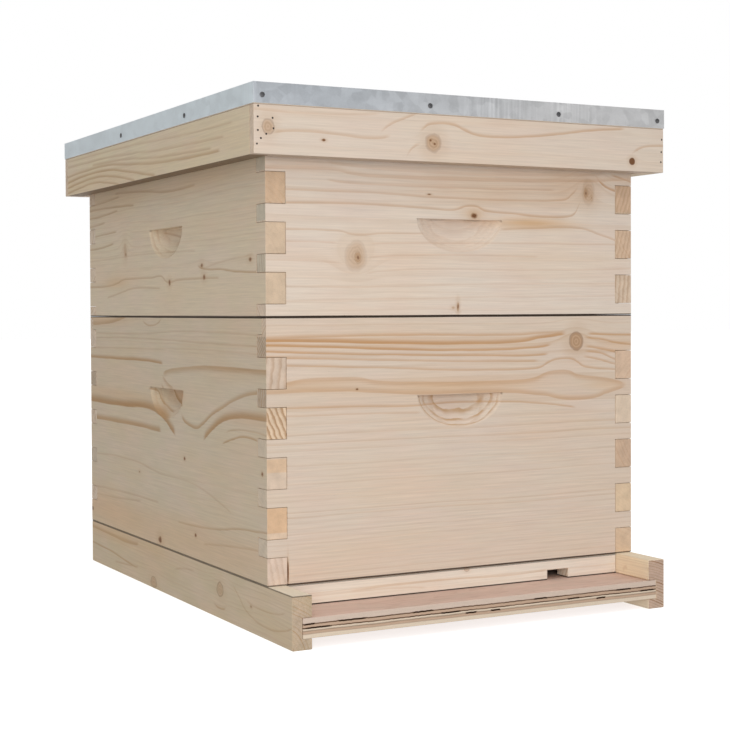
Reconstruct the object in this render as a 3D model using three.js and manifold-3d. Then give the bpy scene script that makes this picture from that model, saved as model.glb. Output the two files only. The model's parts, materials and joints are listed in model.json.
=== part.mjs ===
// A ten-frame Langstroth beehive: bottom board, deep brood box, medium honey super,
// inner cover and metal-topped outer cover, with ten frames in each box.
// Millimetres, +Z up, entrance towards -Y, origin on the ground at the middle of the plan.

import * as THREE from 'three';
import { mergeVertices } from 'three/addons/utils/BufferGeometryUtils.js';
import Module from 'manifold-3d';

const wasm = await Module();
wasm.setup();

// ---------------------------------------------------------------- driving dimensions

// Boxes
const boxWidth = 413;              // X, outside
const boxLength = 505;             // Y, outside
const boardThickness = 20;
const deepHeight = 244.5;
const mediumHeight = 168.3;
const liftGap = 0.3;               // between parts that are stacked and lift apart
const jointGap = 0.3;              // between glued or nailed neighbours

// Finger joints, measured down from the top edge of a box
const rabbetDepth = 16;            // frame rest, height
const rabbetWidth = 11;            // frame rest, width of its ledge
const firstFingerTop = 36.5;
const sideFinger = 28.9;           // side-board finger, seen from the front as end grain
const frontFinger = 16.7;          // front-board finger between two side fingers

// Handholds: the lower half of an oval dish under a straight ledge
const handholdWidth = 97;
const handholdHeight = 32;
const handholdDepth = 12;          // at the middle of the ledge
const handholdDrop = 75.5;         // ledge below the top edge of the box
const dishFlatness = 3;            // the higher, the flatter the floor and the steeper the rim
const dishSides = 64;
const dishRings = 8;
const dishOvershoot = 1.05;        // the cutter runs on past the rim
const cutterMargin = 2;            // a cutter's reach past the face that it opens

// Bottom board
const landingDepth = 52;           // floor in front of the boxes
const railHeight = 48.6;
const railThickness = 19.5;
const floorThickness = 18.3;
const floorUnderside = 10.15;      // above the ground
const floorGroove = 9.5;           // depth of the rail's groove
const cleatThickness = 19.5;

// Entrance reducer
const reducerThickness = 19;
const reducerHeight = 19.2;
const reducerSideGap = 0.5;
const notchWidth = 25;
const notchHeight = 9.5;
const notchCentreX = 114;

// Outer cover
const coverOverhangX = 22.5;
const coverOverhangY = 25;
const coverRimHeight = 44;
const coverRimThickness = 19;
const coverRimDrop = 24;           // rim below the top edge of the upper box
const coverRimLap = 9.5;           // end grain of the front and rear rims, seen on the sides
const coverPanelThickness = 18.9;
const sheetThickness = 0.5;
const sheetFlange = 18.8;
const sheetGap = 0.1;

// Nails that hold the sheet's flange to the edge of the panel
const nailHeadRadius = 2.6;
const nailHeadHeight = 0.8;
const nailCrownRadius = 1.6;       // flat middle of the head
const nailCrownDrop = 0.08;        // from that flat down to where the head rounds off
const nailShankRadius = 1.1;
const nailLength = 15;
const nailPointLength = 2;
const nailHoleRadius = 1.5;
const nailSides = 8;
const nailDrop = 11.5;             // below the top of the sheet
const frontNails = [8.7, 181, 327, 449];   // from the left edge of the cover
const sideNails = [164, 350];              // from the front edge of the cover

// Inner cover
const innerHeight = 19.4;
const innerRimWidth = 19;
const innerPanelThickness = 6;
const innerPanelUnderside = 9.4;   // above the inner cover's underside
const innerPanelLap = 9;           // panel edge held in the rim's groove
const beeHoleLength = 95;
const beeHoleWidth = 28;
const beeHoleSides = 24;

// Frames
const framesPerBox = 10;
const framePitch = 35.3;
const topBarLength = 482;
const topBarWidth = 27;
const topBarHeight = 19;
const lugWidth = 22;
const lugHeight = 9.5;
const endBarSpan = 452;            // over the outer faces of the two end bars
const endBarThickness = 10;
const shoulderWidth = 34.9;
const shoulderHeight = 75;
const shoulderTaper = 6;
const endBarWidth = 27;
const endBarDrop = 0.5;            // end bar's top below the top bar's
const bottomBarWidth = 19;
const bottomBarHeight = 9.5;
const foundationThickness = 2.4;
const deepFrameHeight = 232;
const mediumFrameHeight = 159;
const framesInPieces = 1;          // deep frames made of separate solids
const bondDepth = 1;               // how far the pieces of a one-solid frame run into each other

// ---------------------------------------------------------------- derived places

const nailProud = sheetGap + nailHeadHeight;
const overallLength = landingDepth + boxLength + coverOverhangY + nailProud;
const boxFrontY = landingDepth - overallLength / 2;
const boxRearY = boxFrontY + boxLength;
const boxMiddleY = (boxFrontY + boxRearY) / 2;
const boxSideX = boxWidth / 2;

const landingFrontY = boxFrontY - landingDepth;
const floorTop = floorUnderside + floorThickness;

const deepBottom = railHeight + liftGap;
const deepTop = deepBottom + deepHeight;
const mediumBottom = deepTop + liftGap;
const mediumTop = mediumBottom + mediumHeight;
const innerBottom = mediumTop + liftGap;
const innerTop = innerBottom + innerHeight;

const coverRimBottom = mediumTop - coverRimDrop;
const coverRimTop = coverRimBottom + coverRimHeight;
const coverPanelBottom = coverRimTop + sheetGap;
const coverPanelTop = coverPanelBottom + coverPanelThickness;
const sheetTop = coverPanelTop + sheetGap + sheetThickness;
const coverSideX = boxSideX + coverOverhangX - sheetThickness - sheetGap;
const coverFrontY = boxFrontY - coverOverhangY + sheetThickness + sheetGap;
const coverRearY = boxRearY + coverOverhangY - sheetThickness - sheetGap;

// ---------------------------------------------------------------- materials

function material(color, roughness, metalness = 0) {
  return new THREE.MeshStandardMaterial({ color, roughness, metalness });
}

const pine = material(0xe6cfae, 0.62);
const frameWood = material(0xe9d8b8, 0.6);
const plywood = material(0xc9a483, 0.68);
const galvanised = material(0xb9c2c8, 0.38, 0.9);
const nailSteel = material(0x77797c, 0.45, 0.9);
const beeswax = material(0xe0b552, 0.5);

// ---------------------------------------------------------------- shape helpers

// A box between two corners.
function block(low, high) {
  const size = high.map((value, axis) => value - low[axis]);
  const geometry = new THREE.BoxGeometry(...size);
  return geometry.translate(...high.map((value, axis) => (value + low[axis]) / 2));
}

// An outline of [x, z] points made solid from y = start to y = end.
function extrudeAlongY(outline, start, end) {
  const shape = new THREE.Shape(outline.map(([x, z]) => new THREE.Vector2(x, z)));
  const geometry = new THREE.ExtrudeGeometry(shape, { depth: end - start, bevelEnabled: false });
  return geometry.rotateX(Math.PI / 2).translate(0, end, 0);
}

// An outline of [y, z] points made solid from x = start to x = end.
function extrudeAlongX(outline, start, end) {
  const shape = new THREE.Shape(outline.map(([y, z]) => new THREE.Vector2(y, z)));
  const geometry = new THREE.ExtrudeGeometry(shape, { depth: end - start, bevelEnabled: false });
  const turn = new THREE.Matrix4().makeBasis(
    new THREE.Vector3(0, 1, 0), new THREE.Vector3(0, 0, 1), new THREE.Vector3(1, 0, 0));
  return geometry.applyMatrix4(turn).translate(start, 0, 0);
}

function solid(geometry) {
  const bare = geometry.clone();
  bare.deleteAttribute('normal');
  bare.deleteAttribute('uv');
  const merged = mergeVertices(bare, 1e-4);
  const corners = merged.index.array;
  const triangles = [];
  for (let i = 0; i < corners.length; i += 3) {
    const [a, b, c] = [corners[i], corners[i + 1], corners[i + 2]];
    if (a !== b && b !== c && c !== a) triangles.push(a, b, c);
  }
  const mesh = new wasm.Mesh({
    numProp: 3,
    vertProperties: new Float32Array(merged.attributes.position.array),
    triVerts: new Uint32Array(triangles),
  });
  return new wasm.Manifold(mesh);
}

function geometryOf(body) {
  const mesh = body.getMesh();
  const geometry = new THREE.BufferGeometry();
  geometry.setAttribute('position', new THREE.BufferAttribute(mesh.vertProperties, 3));
  geometry.setIndex(new THREE.BufferAttribute(mesh.triVerts, 1));
  return geometry;
}

function joined(...geometries) {
  return geometryOf(geometries.map(solid).reduce((whole, piece) => whole.add(piece)));
}

function cut(geometry, ...cutters) {
  return geometryOf(cutters.map(solid).reduce((rest, cutter) => rest.subtract(cutter), solid(geometry)));
}

function common(first, second) {
  return geometryOf(solid(first).intersect(solid(second)));
}

const hive = new THREE.Group();

function add(group, name, geometry, finish) {
  const mesh = new THREE.Mesh(geometry, finish);
  mesh.name = name;
  group.add(mesh);
}

// ---------------------------------------------------------------- bottom board

function rail(side) {
  const inner = side * (boxSideX - railThickness);
  const outer = side * boxSideX;
  const groove = side * (boxSideX - railThickness + floorGroove);
  const grooveLow = floorUnderside - jointGap / 2;
  const grooveHigh = floorTop + jointGap / 2;
  const profile = [
    [inner, 0], [outer, 0], [outer, railHeight], [inner, railHeight],
    [inner, grooveHigh], [groove, grooveHigh], [groove, grooveLow], [inner, grooveLow],
  ];
  return extrudeAlongY(profile, landingFrontY, boxRearY);
}

function bottomBoard() {
  const group = new THREE.Group();
  const railInner = boxSideX - railThickness;
  const floorSide = railInner + floorGroove - jointGap;
  add(group, 'bottom_rail_left', rail(-1), pine);
  add(group, 'bottom_rail_right', rail(1), pine);
  add(group, 'bottom_floor', block(
    [-floorSide, landingFrontY, floorUnderside], [floorSide, boxRearY, floorTop]), plywood);
  add(group, 'bottom_rear_cleat', block(
    [-railInner + jointGap, boxRearY - cleatThickness, floorTop + jointGap],
    [railInner - jointGap, boxRearY, railHeight]), pine);
  return group;
}

function entranceReducer() {
  const group = new THREE.Group();
  const halfLength = boxSideX - railThickness - reducerSideGap;
  const bottom = floorTop + liftGap;
  const notchTop = bottom + notchHeight;
  const left = notchCentreX - notchWidth / 2;
  const right = notchCentreX + notchWidth / 2;
  const outline = [
    [-halfLength, bottom], [left, bottom], [left, notchTop], [right, notchTop], [right, bottom],
    [halfLength, bottom], [halfLength, bottom + reducerHeight], [-halfLength, bottom + reducerHeight],
  ];
  add(group, 'entrance_reducer', extrudeAlongY(outline, boxFrontY, boxFrontY + reducerThickness), pine);
  return group;
}

// ---------------------------------------------------------------- boxes

// Heights, down from the top edge, where one board's finger gives way to the other's.
function fingerSteps(height) {
  const steps = [];
  let down = firstFingerTop;
  let next = sideFinger;
  while (down < height) {
    steps.push(down);
    down += next;
    next = next === sideFinger ? frontFinger : sideFinger;
  }
  return steps;
}

// The stretches of a board's end below its first step, from top to bottom: how far each stands
// back, and its reach down from the top edge. Fingers and the notches between them take turns.
function stretchesBelow(steps, height, startsWithFinger) {
  return steps.map((high, i) => {
    const isFinger = (i % 2 === 0) === startsWithFinger;
    const low = steps[i + 1] ?? height;
    const clear = isFinger ? jointGap / 2 : -jointGap / 2;
    return {
      inset: isFinger ? 0 : boardThickness + jointGap,
      from: high + clear,
      to: low === height ? height : low - clear,
    };
  });
}

// One end of a front or rear board.
function frontEndStretches(height) {
  const steps = fingerSteps(height);
  const top = { inset: 0, from: 0, to: steps[0] - jointGap / 2 };
  return [top, ...stretchesBelow(steps, height, false)];
}

// One end of a side board: it closes the frame rest at the top, then its fingers reach the face.
function sideEndStretches(height) {
  const steps = fingerSteps(height);
  const restLow = rabbetDepth - jointGap;
  return [
    { inset: boardThickness - rabbetWidth + jointGap, from: 0, to: restLow },
    { inset: boardThickness + jointGap, from: restLow, to: steps[0] + jointGap / 2 },
    ...stretchesBelow(steps, height, true),
  ];
}

// The outline of a board whose two ends have the same stretches.
function fingeredOutline(low, high, top, stretches) {
  const end = (place) => stretches.flatMap(({ inset, from, to }) => {
    const across = place(inset);
    return [[across, top - from], [across, top - to]];
  });
  return [...end((inset) => low + inset), ...end((inset) => high - inset).reverse()];
}

// A handhold cutter that opens towards -Y, its ledge at z = 0 and the board's face at y = 0.
function handholdCutter() {
  const radius = handholdWidth / 2;
  const profile = [];
  for (let i = 0; i <= dishRings; i += 1) {
    const share = dishOvershoot * i / dishRings;
    profile.push(new THREE.Vector2(radius * share, handholdDepth * (1 - share ** dishFlatness)));
  }
  profile.push(new THREE.Vector2(radius * dishOvershoot, -2 * cutterMargin));
  profile.push(new THREE.Vector2(0, -2 * cutterMargin));
  const dish = new THREE.LatheGeometry(profile.reverse(), dishSides);
  dish.scale(1, 1, handholdHeight / radius);
  const reach = radius * dishOvershoot + cutterMargin;
  return common(dish, block([-reach, -cutterMargin, -reach], [reach, boardThickness, 0]));
}

// The cutter placed on each face of a box: turned about Z, then moved to the face.
function handholdAt(face, ledge) {
  const turns = { front: 0, right: Math.PI / 2, rear: Math.PI, left: -Math.PI / 2 };
  const places = {
    front: [0, boxFrontY], rear: [0, boxRearY],
    left: [-boxSideX, boxMiddleY], right: [boxSideX, boxMiddleY],
  };
  return handholdCutter().rotateZ(turns[face]).translate(...places[face], ledge);
}

function hiveBox(prefix, bottom, height) {
  const group = new THREE.Group();
  const top = bottom + height;
  const ledge = top - handholdDrop;
  for (const [face, outer, inner] of [
    ['front', boxFrontY, boxFrontY + boardThickness], ['rear', boxRearY, boxRearY - boardThickness]]) {
    const inward = Math.sign(inner - outer);
    const thinInner = outer + inward * (boardThickness - rabbetWidth);
    const rest = [thinInner, inner + inward * cutterMargin].sort((a, b) => a - b);
    const outline = fingeredOutline(-boxSideX, boxSideX, top, frontEndStretches(height));
    const board = extrudeAlongY(outline, Math.min(outer, inner), Math.max(outer, inner));
    const frameRest = block(
      [-boxSideX - cutterMargin, rest[0], top - rabbetDepth],
      [boxSideX + cutterMargin, rest[1], top + cutterMargin]);
    add(group, `${prefix}_${face}_board`, cut(board, frameRest, handholdAt(face, ledge)), pine);
  }
  for (const [face, side] of [['left', -1], ['right', 1]]) {
    const ends = [side * boxSideX, side * (boxSideX - boardThickness)].sort((a, b) => a - b);
    const outline = fingeredOutline(boxFrontY, boxRearY, top, sideEndStretches(height));
    const board = extrudeAlongX(outline, ends[0], ends[1]);
    add(group, `${prefix}_${face}_board`, cut(board, handholdAt(face, ledge)), pine);
  }
  return group;
}

// ---------------------------------------------------------------- frames

// Half the outline of an end bar, as [across, z] points: from the slot for the top bar's lug,
// over the shoulder and the taper, to the slot for the bottom bar.
function endBarHalf(top, bottom, slotClearance) {
  const lugX = lugWidth / 2 + slotClearance;
  const slotX = bottomBarWidth / 2 + slotClearance;
  return [
    [lugX, top - lugHeight - slotClearance], [lugX, top - endBarDrop],
    [shoulderWidth / 2, top - endBarDrop], [shoulderWidth / 2, top - shoulderHeight],
    [endBarWidth / 2, top - shoulderHeight - shoulderTaper], [endBarWidth / 2, bottom],
    [slotX, bottom], [slotX, bottom + bottomBarHeight + slotClearance],
  ];
}

// The pieces of one frame, either with a gap between neighbours or run into each other.
function framePieces(x, top, height, apart) {
  const bottom = top - height;
  const overrun = apart ? -jointGap : bondDepth;
  const innerSpan = endBarSpan / 2 - endBarThickness;
  const bar = innerSpan + overrun;
  const main = block(
    [x - topBarWidth / 2, boxMiddleY - bar, top - topBarHeight],
    [x + topBarWidth / 2, boxMiddleY + bar, top]);
  const lugs = block(
    [x - lugWidth / 2, boxMiddleY - topBarLength / 2, top - lugHeight],
    [x + lugWidth / 2, boxMiddleY + topBarLength / 2, top]);
  const half = endBarHalf(top, bottom, apart ? jointGap / 2 : -bondDepth);
  const outline = [
    ...half.map(([dx, z]) => [x + dx, z]), ...half.reverse().map(([dx, z]) => [x - dx, z])];
  const endBar = (side) => {
    const faces = [side * endBarSpan / 2, side * innerSpan].sort((a, b) => a - b);
    return extrudeAlongY(outline, boxMiddleY + faces[0], boxMiddleY + faces[1]);
  };
  const bottomBar = block(
    [x - bottomBarWidth / 2, boxMiddleY - endBarSpan / 2, bottom],
    [x + bottomBarWidth / 2, boxMiddleY + endBarSpan / 2, bottom + bottomBarHeight]);
  const foundation = block(
    [x - foundationThickness / 2, boxMiddleY - bar, bottom + bottomBarHeight - overrun],
    [x + foundationThickness / 2, boxMiddleY + bar, top - topBarHeight + overrun]);
  return {
    top_bar: joined(main, lugs), front_end_bar: endBar(-1), rear_end_bar: endBar(1),
    bottom_bar: bottomBar, foundation,
  };
}

// The first frames of a set are made of separate pieces, and each of the others is one solid.
function frameSet(prefix, boxTop, height, inPieces) {
  const group = new THREE.Group();
  const top = boxTop - rabbetDepth + lugHeight + liftGap;
  for (let i = 0; i < framesPerBox; i += 1) {
    const x = (i - (framesPerBox - 1) / 2) * framePitch;
    const name = `${prefix}_frame_${String(i + 1).padStart(2, '0')}`;
    const apart = i < inPieces;
    const pieces = framePieces(x, top, height, apart);
    if (apart) {
      for (const [piece, geometry] of Object.entries(pieces)) {
        add(group, `${name}_${piece}`, geometry, piece === 'foundation' ? beeswax : frameWood);
      }
    } else {
      add(group, name, joined(...Object.values(pieces)), frameWood);
    }
  }
  return group;
}

// ---------------------------------------------------------------- inner cover

// A rim strip's section as [across, z] points, its groove towards the panel.
function innerRimSection(outer, inward) {
  const inner = outer + inward * innerRimWidth;
  const groove = inner - inward * innerPanelLap;
  const grooveLow = innerBottom + innerPanelUnderside - jointGap / 2;
  const grooveHigh = grooveLow + innerPanelThickness + jointGap;
  return [
    [outer, innerBottom], [inner, innerBottom], [inner, grooveLow], [groove, grooveLow],
    [groove, grooveHigh], [inner, grooveHigh], [inner, innerTop], [outer, innerTop],
  ];
}

function beeHole() {
  const shape = new THREE.Shape();
  const straight = (beeHoleLength - beeHoleWidth) / 2;
  shape.absarc(0, straight, beeHoleWidth / 2, 0, Math.PI);
  shape.absarc(0, -straight, beeHoleWidth / 2, Math.PI, 2 * Math.PI);
  const geometry = new THREE.ExtrudeGeometry(
    shape, { depth: innerHeight, bevelEnabled: false, curveSegments: beeHoleSides / 2 });
  return geometry.translate(0, boxMiddleY, innerBottom);
}

function innerCover() {
  const group = new THREE.Group();
  const sideInner = boxSideX - innerRimWidth;
  const panelX = sideInner + innerPanelLap - jointGap;
  const panelY = boxLength / 2 - innerRimWidth + innerPanelLap - jointGap;
  const panelLow = innerBottom + innerPanelUnderside;
  const panel = block(
    [-panelX, boxMiddleY - panelY, panelLow],
    [panelX, boxMiddleY + panelY, panelLow + innerPanelThickness]);
  add(group, 'inner_cover_panel', cut(panel, beeHole()), plywood);
  for (const [face, outer, inward] of [['front', boxFrontY, 1], ['rear', boxRearY, -1]]) {
    const strip = extrudeAlongX(innerRimSection(outer, inward), -boxSideX, boxSideX);
    add(group, `inner_cover_rim_${face}`, strip, pine);
  }
  const sideStart = boxFrontY + innerRimWidth + jointGap;
  const sideEnd = boxRearY - innerRimWidth - jointGap;
  for (const [face, outer, inward] of [['left', -boxSideX, 1], ['right', boxSideX, -1]]) {
    const strip = extrudeAlongY(innerRimSection(outer, inward), sideStart, sideEnd);
    add(group, `inner_cover_rim_${face}`, strip, pine);
  }
  return group;
}

// ---------------------------------------------------------------- outer cover

// A front or rear rim: its outer half laps over the ends of the side rims.
function lappedRim(outerY, inward) {
  const lap = [outerY, outerY + inward * coverRimLap].sort((a, b) => a - b);
  const rest = [outerY, outerY + inward * coverRimThickness].sort((a, b) => a - b);
  const innerX = coverSideX - coverRimThickness - jointGap;
  return joined(
    block([-coverSideX, lap[0], coverRimBottom], [coverSideX, lap[1], coverRimTop]),
    block([-innerX, rest[0], coverRimBottom], [innerX, rest[1], coverRimTop]));
}

// Where each flange nail goes: its name, its place on the outside of the sheet, and its turn about Z.
function nailPlaces() {
  const left = -boxSideX - coverOverhangX;
  const front = boxFrontY - coverOverhangY;
  const rear = boxRearY + coverOverhangY;
  const places = [];
  frontNails.forEach((along, i) => {
    places.push({ name: `cover_nail_front_${i + 1}`, x: left + along, y: front, turn: 0 });
    places.push({ name: `cover_nail_rear_${i + 1}`, x: -left - along, y: rear, turn: Math.PI });
  });
  sideNails.forEach((along, i) => {
    places.push({ name: `cover_nail_left_${i + 1}`, x: left, y: front + along, turn: -Math.PI / 2 });
    places.push({ name: `cover_nail_right_${i + 1}`, x: -left, y: front + along, turn: Math.PI / 2 });
  });
  return places;
}

// A round body turned from [radius, depth] points, outermost first; depth runs inwards from the
// sheet's outside.
function turnedInto(profile, place) {
  const geometry = new THREE.LatheGeometry(profile.map(([r, d]) => new THREE.Vector2(r, d)), nailSides);
  return geometry.rotateZ(place.turn).translate(place.x, place.y, sheetTop - nailDrop);
}

function nail(place) {
  const underHead = -sheetGap;
  const crown = underHead - nailHeadHeight;
  const profile = [
    [0, crown], [nailCrownRadius, crown + nailCrownDrop],
    [nailHeadRadius, underHead - nailHeadHeight / 2], [nailHeadRadius, underHead],
    [nailShankRadius, underHead], [nailShankRadius, nailLength - nailPointLength], [0, nailLength],
  ];
  return turnedInto(profile, place);
}

function nailHoles() {
  const deep = nailLength + cutterMargin;
  const profile = [
    [0, -cutterMargin], [nailHoleRadius, -cutterMargin], [nailHoleRadius, deep], [0, deep]];
  return nailPlaces().map((place) => turnedInto(profile, place));
}

function coverSheet() {
  const gap = sheetGap;
  const outerX = coverSideX + gap + sheetThickness;
  const outerFront = coverFrontY - gap - sheetThickness;
  const outerRear = coverRearY + gap + sheetThickness;
  const low = sheetTop - sheetFlange;
  return cut(
    block([-outerX, outerFront, low], [outerX, outerRear, sheetTop]),
    block(
      [-coverSideX - gap, coverFrontY - gap, low - cutterMargin],
      [coverSideX + gap, coverRearY + gap, sheetTop - sheetThickness]),
    ...nailHoles());
}

function outerCover() {
  const group = new THREE.Group();
  add(group, 'cover_metal_sheet', coverSheet(), galvanised);
  const panel = block(
    [-coverSideX, coverFrontY, coverPanelBottom], [coverSideX, coverRearY, coverPanelTop]);
  add(group, 'cover_panel', cut(panel, ...nailHoles()), plywood);
  add(group, 'cover_rim_front', lappedRim(coverFrontY, 1), pine);
  add(group, 'cover_rim_rear', lappedRim(coverRearY, -1), pine);
  const sideStart = coverFrontY + coverRimLap + jointGap;
  const sideEnd = coverRearY - coverRimLap - jointGap;
  for (const [name, side] of [['cover_rim_left', -1], ['cover_rim_right', 1]]) {
    const faces = [side * coverSideX, side * (coverSideX - coverRimThickness)].sort((a, b) => a - b);
    add(group, name, block([faces[0], sideStart, coverRimBottom], [faces[1], sideEnd, coverRimTop]), pine);
  }
  for (const place of nailPlaces()) {
    add(group, place.name, nail(place), nailSteel);
  }
  return group;
}

// ---------------------------------------------------------------- assembly

hive.add(bottomBoard());
hive.add(entranceReducer());
hive.add(hiveBox('deep', deepBottom, deepHeight));
hive.add(frameSet('deep', deepTop, deepFrameHeight, framesInPieces));
hive.add(hiveBox('medium', mediumBottom, mediumHeight));
hive.add(frameSet('medium', mediumTop, mediumFrameHeight, 0));
hive.add(innerCover());
hive.add(outerCover());

export default hive;
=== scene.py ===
"""Looks of a two-box beehive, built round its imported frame.

Every board is a finished copy of its CAD node with eased edges. The pine is a solid texture:
growth rings round a pith line that knots push aside, so faces and end grain agree.
Metres in the frame's axes; the grain is worked out in millimetres.
"""

import json
import math
from collections import namedtuple

import bmesh
import bpy
from mathutils import Matrix, Vector

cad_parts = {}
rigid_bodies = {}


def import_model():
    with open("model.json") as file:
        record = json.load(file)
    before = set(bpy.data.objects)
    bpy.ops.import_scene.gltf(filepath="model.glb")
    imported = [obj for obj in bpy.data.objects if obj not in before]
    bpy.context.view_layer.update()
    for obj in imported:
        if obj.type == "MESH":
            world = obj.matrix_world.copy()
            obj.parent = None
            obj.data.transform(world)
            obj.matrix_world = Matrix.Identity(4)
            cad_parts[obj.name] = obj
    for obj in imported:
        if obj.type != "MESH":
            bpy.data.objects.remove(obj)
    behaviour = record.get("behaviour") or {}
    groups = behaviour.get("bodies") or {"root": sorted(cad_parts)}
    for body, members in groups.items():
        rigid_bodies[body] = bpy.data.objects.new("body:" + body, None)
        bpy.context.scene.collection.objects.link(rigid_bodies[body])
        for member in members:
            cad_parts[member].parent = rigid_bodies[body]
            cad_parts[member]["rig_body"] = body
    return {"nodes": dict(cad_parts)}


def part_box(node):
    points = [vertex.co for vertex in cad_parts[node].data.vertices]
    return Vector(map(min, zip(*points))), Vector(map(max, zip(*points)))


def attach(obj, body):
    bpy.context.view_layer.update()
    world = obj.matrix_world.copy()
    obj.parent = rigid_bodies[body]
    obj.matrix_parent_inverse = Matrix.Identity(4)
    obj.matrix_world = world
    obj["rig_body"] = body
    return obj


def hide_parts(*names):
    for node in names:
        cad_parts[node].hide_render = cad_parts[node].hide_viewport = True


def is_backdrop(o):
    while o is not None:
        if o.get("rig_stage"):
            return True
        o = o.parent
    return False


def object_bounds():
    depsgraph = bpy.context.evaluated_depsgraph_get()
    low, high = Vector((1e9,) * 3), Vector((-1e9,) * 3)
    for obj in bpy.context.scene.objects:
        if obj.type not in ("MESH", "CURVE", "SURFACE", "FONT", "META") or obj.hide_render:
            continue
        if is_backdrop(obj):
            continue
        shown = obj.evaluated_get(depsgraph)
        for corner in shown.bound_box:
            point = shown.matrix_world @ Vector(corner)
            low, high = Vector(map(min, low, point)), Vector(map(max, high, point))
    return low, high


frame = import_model()
cad_low, cad_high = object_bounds()
nodes = frame["nodes"]

link = bpy.context.scene.collection.objects.link

MM = 0.001

# ---------- colours, linear

EARLY_FRONT = (0.835, 0.72, 0.61)      # spring wood of the boards that face the entrance
EARLY_SIDE = (0.775, 0.66, 0.49)       # spring wood of the side boards, a little yellower
LATE_WOOD = (0.55, 0.34, 0.18)         # summer wood, the dark edge of a ring
STREAK = (0.56, 0.30, 0.13)            # the boldest rings
STREAK_SIDE = (0.47, 0.27, 0.12)       # and those of the side boards
HONEY = (0.72, 0.46, 0.25)             # resinous stretches
BLUSH = (0.80, 0.61, 0.52)
END_WARM = (0.88, 0.79, 0.75)          # what end grain does to the colour on side boards
END_PALE = (0.95, 0.93, 0.88)          # and on front and rear boards
KNOT_HEART = (0.68, 0.46, 0.29)
KNOT_RING = (0.42, 0.23, 0.11)
KNOT_RIM = (0.20, 0.09, 0.04)
SEAM_SHADE_AND_GRIME = (0.035, 0.022, 0.014)           # painted shade in the gap where two boards meet, with some grime
GLUE_LINE = (0.15, 0.075, 0.04)
VENEER = (0.74, 0.54, 0.45)
VENEER_LINE = (0.40, 0.25, 0.17)
VENEER_BLOTCH = (0.66, 0.54, 0.44)
TOP_PLY = (0.70, 0.55, 0.46)
PLY_PALE = (0.81, 0.67, 0.52)
PLY_CROSS = (0.60, 0.42, 0.30)
# painted shade: the voids between plies drawn as near-black colour, not cut as holes
PLY_VOID_SHADE = (0.035, 0.018, 0.010)
ZINC = (0.50, 0.53, 0.565)
ZINC_WARM = (0.65, 0.65, 0.655)        # the same, further along the front
ZINC_SIDE_LIT = (0.73, 0.80, 0.835)        # and down the sides, painted lighter as painted light
NAIL_GREY = (0.10, 0.10, 0.105)
NAIL_BRIGHT = (0.22, 0.21, 0.20)
BRAD_BROWN = (0.035, 0.022, 0.015)
BRAD_RUST = (0.07, 0.045, 0.03)
UNDERSIDE = (0.14, 0.08, 0.04)         # the shaded underside of the cover rims
# painted light: the rails' up and down faces drawn lighter than their sides
RAIL_TOP_LIT = (0.83, 0.75, 0.61)
FINGER_GREY = (0.50, 0.44, 0.34)
FINGER_PALE = (0.70, 0.59, 0.45)
STRIPE = (0.43, 0.24, 0.12)            # rings on the ends of fingers
WAX = (0.74, 0.47, 0.13)
WAX_RIDGE = (0.86, 0.64, 0.26)
FRAME_EARLY = (0.80, 0.68, 0.50)

# ---------- node formulas


def operator(operation):
    """A Python operator of Value that adds one math node."""
    return lambda value, other: value.graph.math(operation, value, other)


class Value:
    """An output socket that formulas are written with."""

    def __init__(self, graph, socket):
        self.graph = graph
        self.socket = socket

    def __rsub__(self, other):
        return self.graph.math("SUBTRACT", other, self)

    __add__ = __radd__ = operator("ADD")
    __sub__ = operator("SUBTRACT")
    __mul__ = __rmul__ = operator("MULTIPLY")
    __truediv__ = operator("DIVIDE")
    __pow__ = operator("POWER")


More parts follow.
